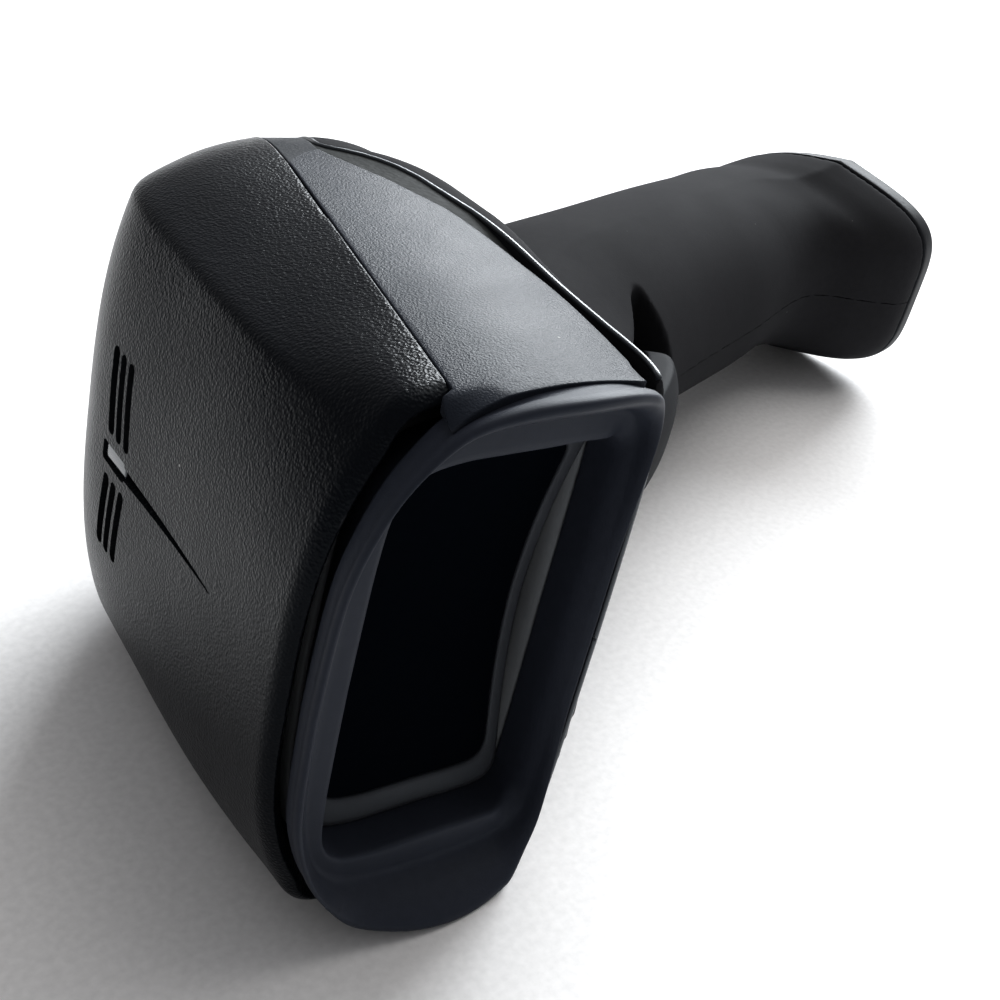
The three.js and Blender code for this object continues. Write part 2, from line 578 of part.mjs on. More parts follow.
const statusLed = () => join(box(-25.6, -24.35, 49, 53, -2.4, 2.4), box(-27.4, -25.5, 50, 52, -1.2, 1.2));

// ---------------------------------------------------------------- fasteners
const screw = (from, along, length, head) => turned([[0, 0], [head, 0], [head, 1], [head * 0.8, 1.7], [1.2, 1.7],
  [1.2, length - 0.8], [0.6, length], [0, length]], from, along, 12);

// ---------------------------------------------------------------- assembly
const scanner = new THREE.Group();
function add(name, body, material) {
  const mesh = new THREE.Mesh(geometryOf(body), material());
  mesh.name = name;
  scanner.add(mesh);
}

add('top_cover', topCover(), FINISH.grainedBlack);
add('status_lens', statusLens(), FINISH.clearLens);
add('head_shell', headShell(), FINISH.satinGrey);
add('handle_shell_upper', handleShell(1), FINISH.mattBlack);
add('handle_shell_lower', handleShell(-1), FINISH.mattBlack);
add('base_cap', baseCap(), FINISH.mattBlack);
add('bezel', bezel(), FINISH.softSlate);
add('window_frame', windowFrame(), FINISH.satinGrey);
add('scan_window', scanWindow(), FINISH.smokedPane);
add('trigger', trigger(), FINISH.softSlate);
add('trigger_pin', triggerPin(), FINISH.steel);
add('trigger_spring', triggerSpring(), FINISH.steel);
add('trigger_switch', triggerSwitch(), FINISH.darkPlastic);
add('switch_plunger', switchPlunger(), FINISH.clearLens);
add('main_board', mainBoard(), FINISH.board);
add('charge_port', chargePort(), FINISH.steel);
add('battery_cell', batteryCell(), FINISH.cell);
add('head_flex', headFlex(), FINISH.brass);
add('engine_chassis', engineChassis(), FINISH.darkPlastic);
add('imaging_lens', imagingLens(), FINISH.darkPlastic);
add('illumination_bar', illuminationBar(), FINISH.board);
add('sensor_board', sensorBoard(), FINISH.board);
add('decode_board', decodeBoard(), FINISH.board);
add('beeper', beeper(), FINISH.darkPlastic);
add('status_led', statusLed(), FINISH.board);
HOUSING_SCREWS.forEach(([p, b], i) =>
  add(`housing_screw_${i + 1}`, screw(grip(p, b, -HOUSING_SCREW_SEAT - 2.05), [0, 0, 1], 18, 2.7), FINISH.steel));
[-1, 1].forEach((side) => add(`cap_screw_${side > 0 ? 'upper' : 'lower'}`,
  screw(grip(160.7, CAP_SCREW[0], side * CAP_SCREW[1]), ALONG.map((v) => -v), 12, 2.6), FINISH.steel));
ENGINE_SCREWS.forEach((z, i) =>
  add(`engine_screw_${i + 1}`, screw([DECK_X + 2.1, ENGINE_SCREW_Y, z], [-1, 0, 0], 10, 2.6), FINISH.steel));

scanner.rotation.set(REST_ROLL, REST_PITCH, 0);
const group = new THREE.Group();
group.add(scanner);
group.updateMatrixWorld(true);
const extent = new THREE.Box3().setFromObject(group, true);
scanner.position.set(-(extent.min.x + extent.max.x) / 2, -(extent.min.y + extent.max.y) / 2, -extent.min.z);

export default group;
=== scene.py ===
# Looks of the handheld barcode scanner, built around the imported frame.
import math

import bmesh
import bpy
import numpy as np
from mathutils import Matrix, Vector


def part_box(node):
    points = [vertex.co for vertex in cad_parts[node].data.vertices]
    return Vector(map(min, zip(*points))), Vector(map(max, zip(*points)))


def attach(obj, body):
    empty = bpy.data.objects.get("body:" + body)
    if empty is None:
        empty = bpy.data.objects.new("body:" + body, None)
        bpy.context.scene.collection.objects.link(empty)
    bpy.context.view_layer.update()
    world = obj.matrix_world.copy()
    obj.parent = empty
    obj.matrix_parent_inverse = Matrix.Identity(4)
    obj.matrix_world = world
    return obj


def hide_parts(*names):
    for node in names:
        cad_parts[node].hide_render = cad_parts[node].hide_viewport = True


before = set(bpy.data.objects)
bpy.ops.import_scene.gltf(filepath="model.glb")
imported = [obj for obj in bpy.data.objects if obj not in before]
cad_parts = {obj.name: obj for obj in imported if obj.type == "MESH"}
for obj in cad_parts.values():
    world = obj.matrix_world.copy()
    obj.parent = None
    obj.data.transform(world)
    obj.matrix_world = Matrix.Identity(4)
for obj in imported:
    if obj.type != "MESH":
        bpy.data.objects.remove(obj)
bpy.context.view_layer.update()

# ---------------------------------------------------------------- the scanner's own axes
# x: head top to foot, y: window to back, z: across the width, in millimetres.
HALF_WIDTH = 33.5
HEAD_BACK = 78.5
BACK_WALL = 78.25
ROOF_TURN = 48.0
ROOF_RADIUS = 29.0
GRIP_TILT = math.radians(20)
GRIP_SEAM = 155.6
CREASE_HALF = 28.5
LENS_Y = 49.0
TRIGGER_HALF = 8.4
PANE_RADIUS = 80.0
PANE_DEPTH = 9.4
PIVOT = (33.0, 18.0)
CORE_X = -8.0                     # x of the middle of the head
INSIDE_HEAD = (CORE_X, 38.0, 0.0)
OPENING_X = -10.0                 # x of the middle of the window opening
PANE_X = -10.6
PANE_THICKNESS = 1.5
COVER_FRONT = 1.0
ROLL = 2.4                        # radius of the cover's front edge
EDGE_RADIUS = 0.2                 # of the panels
SEAM = 0.12                       # gap between neighbouring shells
PANEL_FRONT = -2.5
PARTING = 0.07                    # half the gap between the handle halves
TRAY_WALL = 1.9
TRAY_FRONT = -1.5
STEM_TOP = 7.5                    # where the grip's stem ends inside the tray
WELL_HALF = 7.3                   # half width of the trigger's well
SLOT_COUNT = 3                    # sound slots on each side of the status lens
SLOT_PITCH = 2.25
SLOT_SLANT = 0.145                # radians
SLOT_LENGTH = 5.5                 # half of it
SLOT_X = -31                      # x of the slots and the status lens
GROOVE_START = 19.5
GROOVE_FULL = 44
GROOVE_END = 46
LENS_SIZE = (2.95, 1.1)           # half sizes of the status lens
LENS_RADIUS = 0.5
CAP_SCREW_SIDE = 11
SEATS = ((33, 52), (74, 52))      # screw seats in the lower handle half
REST_PITCH = math.radians(5.52)
REST_ROLL = math.radians(-0.36)

# how finely things are drawn
GRIP_POINTS = 128
CORNER_STEPS = 6
EDGE_STEPS = 4
TUBE_STEP = 36                    # degrees
HANDLE_VOXEL = 0.43
HANDLE_SMOOTHING = 5
TRIGGER_VOXEL = 0.28
TRIGGER_SMOOTHING = 3

REST = Matrix.Rotation(REST_ROLL, 3, "X") @ Matrix.Rotation(REST_PITCH, 3, "Y")
REST_NP = np.array(REST)
ALONG = np.array([math.cos(GRIP_TILT), math.sin(GRIP_TILT), 0.0])
BACK = np.array([-math.sin(GRIP_TILT), math.cos(GRIP_TILT), 0.0])


def grip_point(p, b, z=0.0):
    p, b, z = np.broadcast_arrays(p, b, z)
    return p[..., None] * ALONG + b[..., None] * BACK + z[..., None] * np.array([0, 0, 1.0])


# the trigger pin's middle lies on the pivot, which fixes where the scanner is in the frame
pin_low, pin_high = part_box("trigger_pin")
OFFSET = np.array((pin_low + pin_high) / 2) * 1000 - REST_NP @ grip_point(*PIVOT)


def to_frame(points):
    return (np.asarray(points, float) @ REST_NP.T + OFFSET) / 1000


# ---------------------------------------------------------------- smooth functions
def through(pairs):
    at = np.array([p[0] for p in pairs], float)
    value = np.array([p[1] for p in pairs], float)
    slope = np.empty(len(at))
    slope[1:-1] = (value[2:] - value[:-2]) / (at[2:] - at[:-2])
    slope[0] = (value[1] - value[0]) / (at[1] - at[0])
    slope[-1] = (value[-1] - value[-2]) / (at[-1] - at[-2])

    def curve(t):
        t = np.clip(np.asarray(t, float), at[0], at[-1])
        i = np.clip(np.searchsorted(at, t, side="right") - 1, 0, len(at) - 2)
        h = at[i + 1] - at[i]
        u = (t - at[i]) / h
        return (value[i] * (2 * u**3 - 3 * u**2 + 1) + slope[i] * h * (u**3 - 2 * u**2 + u)
                + value[i + 1] * (3 * u**2 - 2 * u**3) + slope[i + 1] * h * (u**3 - u**2))
    return curve


def smoothstep(x, lo, hi):
    t = np.clip((np.asarray(x, float) - lo) / (hi - lo), 0, 1)
    return t * t * (3 - 2 * t)


def mix(a, b, t):
    return a + (b - a) * t


# ---------------------------------------------------------------- the head's skin
crease_line = through([(0, -26.8), (12, -27.9), (25, -28), (45, -26.4), (61, -24.2), (70, -17), (76, -10)])
keel = through([(-3, 6.9), (0, 7.4), (12, 10.3), (24, 14.5), (40, 21), (78, 26)])
# lower edge of the side panel, and the lip of the tray below it
panel_bottom = through([(-1.4, 1), (7.3, 2.9), (16, 4.3), (24, 4.8), (33, 5.3), (41, 5.0), (47, 3.6),
                        (54, 1.2), (59, -0.2), (61.5, -0.1), (66, 1.1), (73, 2.7), (78.5, 3.7)])
tray_top = through([(-3, 2.6), (0, 4.3), (3.7, 5.3), (11, 6.0), (19.4, 6.9), (34, 9.0), (44.5, 8.9),
                    (54, 7.4), (59, 4.6), (62, 1.6), (63.5, 1.0), (66, 1.65), (73, 3.2), (78.5, 4.2)])


def roof_line(y):
    front = -30.2 - 2.9 * (np.clip(ROOF_TURN - y, 0, None) / ROOF_TURN) ** 2.2
    turn = np.clip((y - ROOF_TURN) / (HEAD_BACK - ROOF_TURN), 0, 1)
    return np.where(y < ROOF_TURN, front, -1.2 - ROOF_RADIUS * np.sqrt(1 - turn**2))


def side_edge(y):
    return -20.5 + 0.235 * y


def half_width(y):
    return HALF_WIDTH * (1 - np.clip((y - 40) / (HEAD_BACK - 40), 0, 1) ** 5) ** 0.22


def bulge(y):
    return 1.3 * np.clip(1 - y / 60, 0, 1)


def crown(y, s):
    """A point of the cover: s is 0 mid-roof, 1 on the crease and 2 on the side edge."""
    w = half_width(y)
    top = roof_line(y)
    side = np.maximum(side_edge(y), top + 0.8)
    crease = np.clip(crease_line(y), top + 0.2, side - 0.4)
    crease_half = w * CREASE_HALF / HALF_WIDTH
    convex = mix(1.7, 0.2, smoothstep(y, 0, 25)) + 0.8 * smoothstep(y, 35, 62)
    c = np.clip(s, 0, 1)
    share = np.clip(s - 1, 0, 1)
    swell = convex * np.sin(np.pi * share)
    x = np.where(s <= 1, top + (crease - top) * c**2.9, mix(crease, side, share) - 0.7 * swell)
    z = np.where(s <= 1, crease_half * c, mix(crease_half, w, share) + 0.7 * swell)
    return x, z


# stations along y, closer together where the back rounds off
def stations(front, count_front, count_back):
    ys = list(np.linspace(front, 40, count_front, endpoint=False))
    keep = (half_width(BACK_WALL) / HALF_WIDTH)
    for k in np.cos(np.linspace(0, np.arccos(keep), count_back)):
        ys.append(40 + (HEAD_BACK - 40) * (1 - k ** (1 / 0.22)) ** 0.2)
    return np.array(ys)


# ---------------------------------------------------------------- the grip's skin
grip_front = through([(16, 8), (24, 8), (34, 8.5), (44, 10), (51, 13), (58, 16.8), (65, 20.4), (72, 22.8),
                      (84, 24), (110, 24.8), (132, 26), (139, 24), (145, 18), (151, 13), (156, 12),
                      (161, 11.8)])
grip_back = through([(16, 71), (30, 70), (46, 67), (68, 65), (88, 63.6), (111, 62.8), (136, 61.4),
                     (150, 59.6), (156, 58), (161, 55)])
grip_half = through([(16, 12), (40, 14.5), (60, 16.4), (88, 17), (111, 17.1), (132, 16.5), (145, 16.9),
                     (151, 18.8), (156, 20.3), (161, 20.4)])
toe_taper = through([(16, 0.3), (60, 0.3), (80, 0.12), (125, 0.1), (145, 0.22), (161, 0.24)])
heel_taper = through([(16, 0), (130, 0), (145, 0.08), (156, 0.17), (161, 0.17)])
squareness = through([(16, 2.3), (125, 2.3), (146, 4), (161, 4.6)])


def grip_ring(p, inset=0.0):
    """One section of the grip at p along its length, set in by inset."""
    front = grip_front(p) + inset
    back = grip_back(p) - inset
    centre = (front + back) / 2
    depth = (back - front) / 2
    half = grip_half(p) - inset
    angle = np.linspace(0, 2 * np.pi, GRIP_POINTS, endpoint=False)
    c, s = np.cos(angle), np.sin(angle)
    power = np.where(c > 0, 2 / squareness(p), 2 / mix(squareness(p), 2.3, 0.6))
    across = -np.sign(c) * np.abs(c) ** power
    narrowing = 1 - toe_taper(p) * np.clip(-across, 0, None) - heel_taper(p) * np.clip(across, 0, None)
    return grip_point(p, centre + depth * across, half * narrowing * np.sign(s) * np.abs(s) ** power)


# ---------------------------------------------------------------- mesh helpers
def mesh_object(name, points, faces, smooth=True):
    mesh = bpy.data.meshes.new(name)
    mesh.from_pydata([tuple(p) for p in to_frame(points)], [], [tuple(int(i) for i in f) for f in faces])
    mesh.validate()
    bm = bmesh.new()
    bm.from_mesh(mesh)
    bmesh.ops.remove_doubles(bm, verts=bm.verts, dist=1e-6)
    bmesh.ops.dissolve_degenerate(bm, edges=bm.edges, dist=1e-7)
    bmesh.ops.recalc_face_normals(bm, faces=bm.faces)
    bm.to_mesh(mesh)
    bm.free()
    obj = bpy.data.objects.new(name, mesh)
    bpy.context.scene.collection.objects.link(obj)
    if smooth:
        mesh.shade_smooth()
    return obj


def grid_faces(rows, cols, close_cols=False, start=0):
    faces = []
    for i in range(rows - 1):
        for j in range(cols if close_cols else cols - 1):
            k = (j + 1) % cols
            faces.append((start + i * cols + j, start + i * cols + k,
                          start + (i + 1) * cols + k, start + (i + 1) * cols + j))
    return faces


def unit(v):
    return v / np.maximum(np.linalg.norm(v, axis=-1, keepdims=True), 1e-9)


def relax(grid, rounds):
    """Evens out a grid of points, leaving its border where it is."""
    g = grid.copy()
    for _ in range(rounds):
        h = g.copy()
        h[1:-1, 1:-1] = (g[:-2, 1:-1] + g[2:, 1:-1] + g[1:-1, :-2] + g[1:-1, 2:]) / 4
        g = mix(g, h, 0.6)
    return g


def plate(name, grid, thickness, radius, inside):
    """A closed plate from its outer grid of points, with rounded edges. inside is a point within the part."""
    du = np.gradient(grid, axis=0)
    dv = np.gradient(grid, axis=1)
    normal = unit(np.cross(du, dv))
    if np.sum(normal * (grid - np.asarray(inside))) < 0:
        normal = -normal
    rows, cols = grid.shape[:2]
    # the border loop, with in-surface directions out of the patch
    loop = ([(0, j) for j in range(cols)] + [(i, cols - 1) for i in range(1, rows)]
            + [(rows - 1, j) for j in range(cols - 2, -1, -1)] + [(i, 0) for i in range(rows - 2, 0, -1)])
    out = np.zeros_like(grid)
    out[0] -= unit(du[0])
    out[-1] += unit(du[-1])
    out[:, 0] -= unit(dv[:, 0])
    out[:, -1] += unit(dv[:, -1])
    out = unit(out)
    points = [grid.reshape(-1, 3)]
    faces = grid_faces(rows, cols)
    idx = np.array([i * cols + j for i, j in loop])
    edge = grid.reshape(-1, 3)[idx]
    n = normal.reshape(-1, 3)[idx]
    t = out.reshape(-1, 3)[idx]
    count = len(loop)
    previous = idx
    total = rows * cols
    centre = edge - n * radius
    rings = [centre + radius * (n * math.cos(a) + t * math.sin(a))
             for a in np.linspace(0, math.pi / 2, EDGE_STEPS + 1)[1:]]
    rings.append(centre + t * radius - n * (thickness - radius))
    for ring in rings:
        points.append(ring)
        current = np.arange(total, total + count)
        for k in range(count):
            m = (k + 1) % count
            faces.append((previous[k], previous[m], current[m], current[k]))
        previous = current
        total += count
    inner = grid - normal * thickness
    points.append(inner.reshape(-1, 3))
    inner_faces = grid_faces(rows, cols, start=total)
    faces += [f[::-1] for f in inner_faces]
    inner_idx = idx + total
    for k in range(count):
        m = (k + 1) % count
        faces.append((previous[k], previous[m], inner_idx[m], inner_idx[k]))
    return mesh_object(name, np.concatenate(points), faces)


def loft(name, rings, smooth=True):
    rings = np.asarray(rings)
    rows, cols = rings.shape[:2]
    faces = grid_faces(rows, cols, close_cols=True)
    faces.append(tuple(range(cols))[::-1])
    faces.append(tuple(range((rows - 1) * cols, rows * cols)))
    return mesh_object(name, rings.reshape(-1, 3), faces, smooth)


def boolean(obj, tool, operation):
    modifier = obj.modifiers.new("cut", "BOOLEAN")
    modifier.operation = operation
    modifier.solver = "EXACT"
    modifier.object = tool
    apply_modifiers(obj)
    bpy.data.objects.remove(tool)
    return obj


def crisp(obj, degrees=32):
    """Smooth shading, apart from edges that turn sharply."""
    obj.data.shade_smooth()
    obj.data.set_sharp_from_angle(angle=math.radians(degrees))
    return obj


def apply_modifiers(obj):
    depsgraph = bpy.context.evaluated_depsgraph_get()
    mesh = bpy.data.meshes.new_from_object(obj.evaluated_get(depsgraph))
    obj.modifiers.clear()
    old = obj.data
    obj.data = mesh
    bpy.data.meshes.remove(old)


def remesh(obj, voxel, smooth_rounds):
    modifier = obj.modifiers.new("remesh", "REMESH")
    modifier.mode = "VOXEL"
    modifier.voxel_size = voxel / 1000
    modifier.use_smooth_shade = True
    apply_modifiers(obj)
    if smooth_rounds:
        modifier = obj.modifiers.new("smooth", "SMOOTH")
        modifier.factor = 0.5
        modifier.iterations = smooth_rounds
        apply_modifiers(obj)
    obj.data.shade_smooth()


def prism(name, outline, centre, u, v, n, depth0, depth1):
    """An outline of (a, b) points in the plane of u and v, drawn from depth0 to depth1 along n."""
    outline = np.asarray(outline, float)
    u, v, n = (np.asarray(a, float) for a in (u, v, n))
    base = np.asarray(centre, float) + outline[:, :1] * u + outline[:, 1:] * v
    return loft(name, [base + depth0 * n, base + depth1 * n], smooth=False)


def rounded(a, b, r):
    """Outline of a rectangle of half sizes a and b with corners of radius r."""
    points = []
    for cx, cy, start in ((a - r, b - r, 0), (r - a, b - r, 90), (r - a, r - b, 180), (a - r, r - b, 270)):
        for k in range(CORNER_STEPS + 1):
            angle = math.radians(start + 90 * k / CORNER_STEPS)
            points.append((cx + r * math.cos(angle), cy + r * math.sin(angle)))
    return points


def revolve(name, profile, base, axis, segments=48):
    """A turned solid: radius and height pairs about an axis through base."""
    axis = unit(np.asarray(axis, float))
    side = unit(np.cross(axis, [0.31, 0.52, 0.79]))
    other = np.cross(axis, side)
    angle = np.linspace(0, 2 * np.pi, segments, endpoint=False)
    ring = np.cos(angle)[:, None] * side + np.sin(angle)[:, None] * other
    rings = [np.asarray(base, float) + max(r, 1e-4) * ring + h * axis for r, h in profile]
    return loft(name, rings)


# ---------------------------------------------------------------- materials
def material(name, base, roughness=0.5, metallic=0.0, grain=0.0, grain_size=0.5, mottling=0.15, wear=0.0,
             bump2=0.0, size2=0.12, rough_spread=0.08, coat=0.0, specular=0.5, speck=0.0):
    """Moulded plastic: two sizes of grain as bump, slow colour and gloss variation, and worn edges."""
    mat = bpy.data.materials.new(name)
    mat.use_nodes = True
    nodes, links = mat.node_tree.nodes, mat.node_tree.links
    shader = nodes["Principled BSDF"]
    shader.inputs["Metallic"].default_value = metallic
    shader.inputs["Specular IOR Level"].default_value = specular
    # reflections tinted blue: painted cool light
    shader.inputs["Specular Tint"].default_value = (0.84, 0.93, 1.0, 1)
    shader.inputs["Coat Weight"].default_value = coat
    coords = nodes.new("ShaderNodeTexCoord")

    def noise(size_mm, detail):
        node = nodes.new("ShaderNodeTexNoise")
        node.inputs["Scale"].default_value = 1000 / size_mm
        node.inputs["Detail"].default_value = detail
        links.new(coords.outputs["Object"], node.inputs["Vector"])
        return node

    def spread(source, lo, hi, from_lo=0.3, from_hi=0.7):
        node = nodes.new("ShaderNodeMapRange")
        node.inputs["From Min"].default_value = from_lo
        node.inputs["From Max"].default_value = from_hi
        node.inputs["To Min"].default_value = lo
        node.inputs["To Max"].default_value = hi
        links.new(source, node.inputs["Value"])
        return node.outputs["Result"]

    def blend(factor, a, b):
        node = nodes.new("ShaderNodeMix")
        node.data_type = "RGBA"
        links.new(factor, node.inputs["Factor"])
        for socket, value in ((node.inputs["A"], a), (node.inputs["B"], b)):
            if isinstance(value, (tuple, list)):
                socket.default_value = (*value, 1)
            else:
                links.new(value, socket)
        return node.outputs["Result"]

    base = tuple(base)
    slow = noise(26, 4)
    fine = noise(1.1, 3)
    colour = blend(spread(slow.outputs["Fac"], 0, 1), tuple(c * (1 - mottling) for c in base),
                   tuple(c * (1 + mottling) for c in base))
    colour = blend(spread(fine.outputs["Fac"], 0, 0.35), colour, tuple(c * 0.72 for c in base))
    if wear:
        geometry = nodes.new("ShaderNodeNewGeometry")
        edge = spread(geometry.outputs["Pointiness"], 0, wear, 0.53, 0.62)
        colour = blend(edge, colour, tuple(min(1, c * 1.9 + 0.03) for c in base))
    if speck:
        dust = nodes.new("ShaderNodeTexVoronoi")
        dust.inputs["Scale"].default_value = 1000 / 7.0
        links.new(coords.outputs["Object"], dust.inputs["Vector"])
        spot = spread(dust.outputs["Distance"], speck, 0, 0.012, 0.03)
        colour = blend(spot, colour, (0.62, 0.62, 0.6))
    links.new(colour, shader.inputs["Base Color"])
    gloss = noise(9, 3)
    links.new(spread(gloss.outputs["Fac"], roughness - rough_spread, roughness + rough_spread),
              shader.inputs["Roughness"])
    normal = None
    for amount, size, kind in ((grain, grain_size, "cells"), (bump2, size2, "noise")):
        if not amount:
            continue
        if kind == "cells":
            warp = noise(size * 1.6, 2)
            cell = nodes.new("ShaderNodeTexVoronoi")
            cell.feature = "SMOOTH_F1"
            cell.inputs["Scale"].default_value = 1000 / size
            cell.inputs["Smoothness"].default_value = 0.55
            links.new(coords.outputs["Object"], cell.inputs["Vector"])
            add = nodes.new("ShaderNodeMath")
            add.operation = "MULTIPLY_ADD"
            links.new(warp.outputs["Fac"], add.inputs[0])
            add.inputs[1].default_value = 0.8
            links.new(cell.outputs["Distance"], add.inputs[2])
            height = add.outputs[0]
        else:
            height = noise(size, 2).outputs["Fac"]
        bump = nodes.new("ShaderNodeBump")
        bump.inputs["Strength"].default_value = 1.0
        bump.inputs["Distance"].default_value = amount / 1000
        links.new(height, bump.inputs["Height"])
        if normal:
            links.new(normal, bump.inputs["Normal"])
        normal = bump.outputs["Normal"]
    if normal:
        links.new(normal, shader.inputs["Normal"])
    return mat


MATERIAL = {
    "cover": material("grained_black", (0.0042, 0.0050, 0.0068), 0.30, grain=0.07, grain_size=0.36,
                      mottling=0.2, wear=0.4, bump2=0.008, size2=0.10, speck=0.5, specular=0.05,
                      rough_spread=0.03),
    "panel": material("satin_grey", (0.0155, 0.0182, 0.0250), 0.33, grain=0.024, grain_size=0.24,
                      mottling=0.10, wear=0.4, bump2=0.008, size2=0.09, speck=0.35, specular=0.024,
                      rough_spread=0.03),
    "tail": material("tail_black", (0.020, 0.022, 0.026), 0.5, grain=0.02, grain_size=0.4, mottling=0.6,
                     bump2=0.006, size2=0.1, specular=0.02),
    "core": material("recess_black", (0.024, 0.0255, 0.0255), 0.55, grain=0.06, grain_size=0.8, mottling=0.7,
                     specular=0.01),
    "handle": material("matt_black", (0.0165, 0.0165, 0.0180), 0.74, grain=0.010, grain_size=0.24,
                       mottling=0.12, bump2=0.004, size2=0.08, speck=0.15, specular=0.012,
                       rough_spread=0.02),
    "cap": material("cap_black", (0.012, 0.0125, 0.0145), 0.45, grain=0.015, grain_size=0.26, wear=0.5,
                    specular=0.035, rough_spread=0.03),
    "bezel": material("soft_slate", (0.0215, 0.0245, 0.0345), 0.5, grain=0.008, grain_size=0.2, mottling=0.08,
                      wear=0.2, bump2=0.004, size2=0.08, specular=0.085, rough_spread=0.03),
    # the ledge's grey is lighter than the housing: painted light for the light its proud edge catches
    "ledge": material("ledge_painted_light_grey", (0.085, 0.088, 0.092), 0.5, grain=0.01, grain_size=0.3),
    "gasket": material("gasket_grey", (0.040, 0.043, 0.050), 0.55, grain=0.01, grain_size=0.3, mottling=0.15,
                       specular=0.2),
    "lip": material("lip_black", (0.020, 0.022, 0.026), 0.34, grain=0.012, grain_size=0.2, mottling=0.3,
                    specular=0.5),
    "pane": material("smoked_pane", (0.0018, 0.0026, 0.0042), 0.12, mottling=0.02, rough_spread=0.02,
                     bump2=0.0005, size2=4.0, specular=0.0),
    "lens": material("smoked_lens", (0.02, 0.022, 0.026), 0.18, coat=0.5, rough_spread=0.04, bump2=0.002,
                     size2=2.0),
    # dark slate plastic, made darker than the handle as painted shade from the pocket the trigger sits in
    "trigger": material("trigger_slate_painted_shade", (0.010, 0.0105, 0.0125), 0.65, grain=0.008, grain_size=0.2, wear=0.4,
                        bump2=0.004, size2=0.1, specular=0.03, rough_spread=0.03),
    "steel": material("plated_steel", (0.26, 0.265, 0.275), 0.38, metallic=1.0, bump2=0.004, size2=0.3),
    "board": material("solder_mask", (0.01, 0.07, 0.045), 0.4, grain=0.01, grain_size=0.8),
    "brass": material("contact_brass", (0.6, 0.45, 0.2), 0.35, metallic=1.0, bump2=0.003, size2=0.3),
    "cell": material("cell_wrap", (0.03, 0.09, 0.22), 0.35, coat=0.3, bump2=0.01, size2=3.0),
}


def piece(obj, body, mat, slot, *nodes):
    obj.data.materials.clear()
    obj.data.materials.append(MATERIAL[mat])
    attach(obj, body)
    if nodes:
        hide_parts(*nodes)


# ---------------------------------------------------------------- cover
def cover_grid():
    shares = np.concatenate([np.linspace(0, 0.6, 30), np.linspace(0.6, 1.0, 26)[1:],
                             np.linspace(1, 2, 22)[1:]])
    edge_room = 0.28
    shares = np.where(shares > 1.99, 1.985, shares)
    signed = np.concatenate([-shares[::-1], shares[1:]])
    ys = stations(COVER_FRONT + edge_room, 100, 70)
    fine = COVER_FRONT + edge_room + np.array([0.0, 0.15, 0.35, 0.6, 0.9, 1.25, 1.65])
    ys = np.concatenate([fine, ys[ys > 3.2]])
    rows = []
    for y in ys:
        x, z = crown(y, np.abs(signed))
        z = z * np.where(signed < 0, -1.0, 1.0)
        rows.append(np.stack([x, np.full_like(x, y), z], 1))
    inward = unit(np.stack([CORE_X - rows[0][:, 0], np.zeros(len(signed)), -rows[0][:, 2]], 1))
    for y, row in zip(ys, rows):
        short = ROLL - min(y - COVER_FRONT, ROLL)
        row += inward * (ROLL - math.sqrt(ROLL**2 - short**2))
    last = rows[-1]
    foot = side_edge(BACK_WALL) - 0.3
    for share in np.linspace(0, 1, 9)[1:]:
        row = last.copy()
        row[:, 0] = mix(last[:, 0], np.maximum(foot, last[:, 0]), share)
        rows.append(row)
    return np.array(rows)


def make_cover():
    grid = relax(cover_grid(), 5)
    cover = plate("cover_shell", grid, 2.2, 0.28, INSIDE_HEAD)
    # sound slots, three on each side of the status lens, fanned a little
    for side in (-1, 1):
        for i in range(SLOT_COUNT):
            slant = -side * SLOT_SLANT
            u = (0, math.cos(slant), math.sin(slant))
            v = (0, -math.sin(slant), math.cos(slant))
            wide = 0.9 if i == 0 else 0.78
            centre = (SLOT_X, LENS_Y + 0.2 - i * SLOT_PITCH, side * 8.2)
            slot = prism("slot", rounded(wide, SLOT_LENGTH, wide * 0.95), centre, u, v, (1, 0, 0), -8, 14)
            boolean(cover, slot, "DIFFERENCE")
    lens_hole = prism("lens_hole", rounded(3.3, 1.35, LENS_RADIUS), (SLOT_X, LENS_Y - 2, 0),
                      (0, 1, 0), (0, 0, 1), (1, 0, 0), -6, 12)
    boolean(cover, lens_hole, "DIFFERENCE")
    boolean(cover, groove_tool(), "DIFFERENCE")
    return crisp(cover)


def groove_tool():
    """A tapering V with a flat floor, about 0.95 mm deep at the lens and shallow at its far end."""
    rings = []
    for y in np.linspace(GROOVE_START, GROOVE_END, 30):
        share = (y - GROOVE_START) / (GROOVE_FULL - GROOVE_START)
        half = mix(0.12, 0.85, min(share, 1))
        depth = mix(0.15, 0.95, min(share, 1))
        top = float(roof_line(np.array(y)))
        rings.append([(top - 2, y, -half * 1.6), (top + depth * 0.2, y, -half), (top + depth, y, -half * 0.7),
                      (top + depth, y, half * 0.7), (top + depth * 0.2, y, half), (top - 2, y, half * 1.6)])
    return loft("groove", rings, smooth=False)


piece(make_cover(), "housing", "cover", "grained_black", "top_cover")


# ---------------------------------------------------------------- outlines of the window end
def spline(points):
    """A smooth curve through points, as a function of 0..1."""
    pts = np.asarray(points, float)

    def at(t):
        t = np.clip(np.asarray(t, float), 0, 1) * (len(pts) - 1)
        i = np.clip(np.floor(t).astype(int), 0, len(pts) - 2)
        u = (t - i)[..., None]
        p0 = pts[np.clip(i - 1, 0, None)]
        p1, p2 = pts[i], pts[i + 1]
        p3 = pts[np.clip(i + 2, None, len(pts) - 1)]
        return 0.5 * ((2 * p1) + (p2 - p0) * u + (2 * p0 - 5 * p1 + 4 * p2 - p3) * u**2
                      + (3 * p1 - p0 - 3 * p2 + p3) * u**3)
    return at


